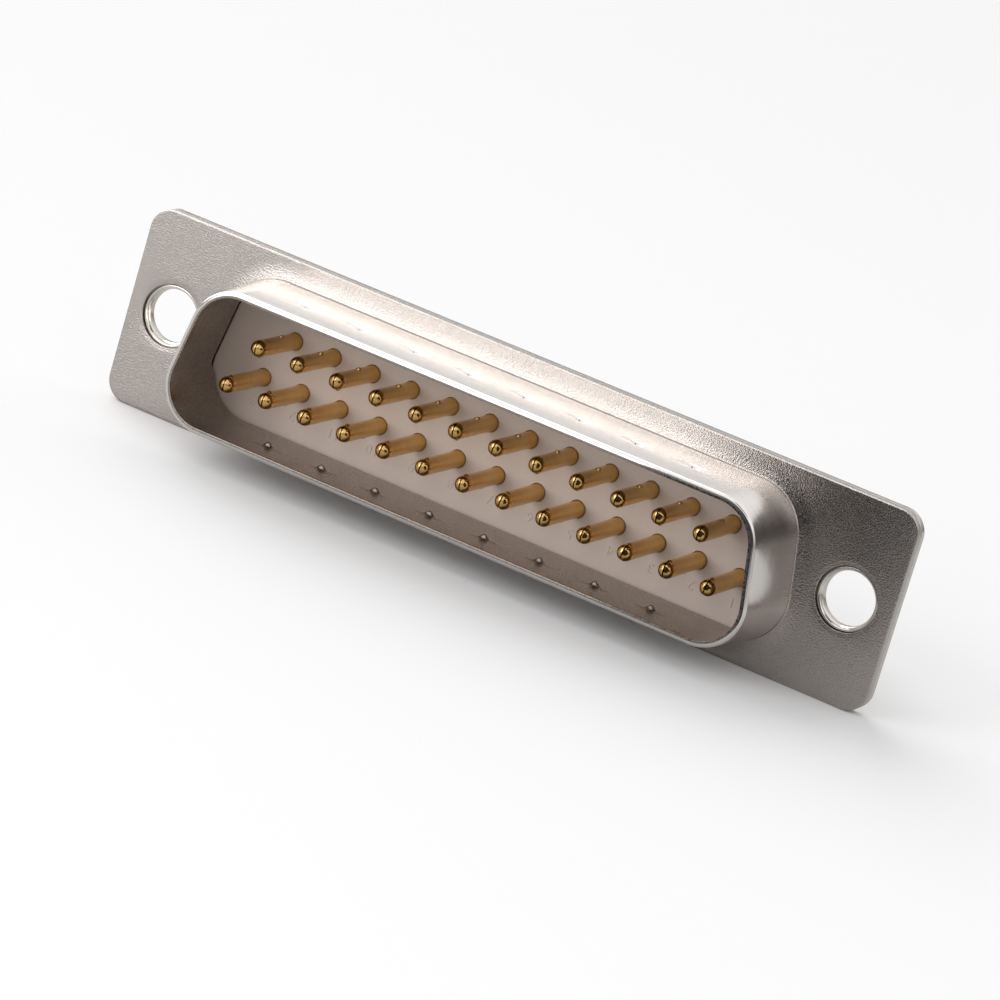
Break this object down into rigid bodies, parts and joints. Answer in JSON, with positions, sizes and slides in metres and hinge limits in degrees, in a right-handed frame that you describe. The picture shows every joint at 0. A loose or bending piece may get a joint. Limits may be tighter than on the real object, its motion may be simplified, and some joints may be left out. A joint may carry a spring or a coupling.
{
  "type": "d-sub connector",
  "caption": "D-shaped subminiature plug: drawn metal shroud and flange, two rows of gold pins in a pale moulded block, solder cups at the back.",
  "frame": {"origin": "centre of the D-shaped opening in the plane of the flange's front face", "axes": "+X along the flange towards contact 1, -Y the way the pins point, +Z from the wide row of contacts to the narrow row"},
  "size_m": [0.053, 0.0171, 0.0126],
  "materials": {
    "shell": "drawn steel sheet, bright nickel plating",
    "insulator": "moulded off-white polyester, slightly grained",
    "contact": "rolled copper alloy, thin gold plating"
  },
  "bodies": {
    "root": {"front_shell": "shell", "rear_shell": "shell", "insulator": "insulator", "contact_01": "contact", "contact_02": "contact", "contact_03": "contact", "contact_04": "contact", "contact_05": "contact", "contact_06": "contact", "contact_07": "contact", "contact_08": "contact", "contact_09": "contact", "contact_10": "contact", "contact_11": "contact", "contact_12": "contact", "contact_13": "contact", "contact_14": "contact", "contact_15": "contact", "contact_16": "contact", "contact_17": "contact", "contact_18": "contact", "contact_19": "contact", "contact_20": "contact", "contact_21": "contact", "contact_22": "contact", "contact_23": "contact", "contact_24": "contact", "contact_25": "contact"}
  },
  "joints": []
}
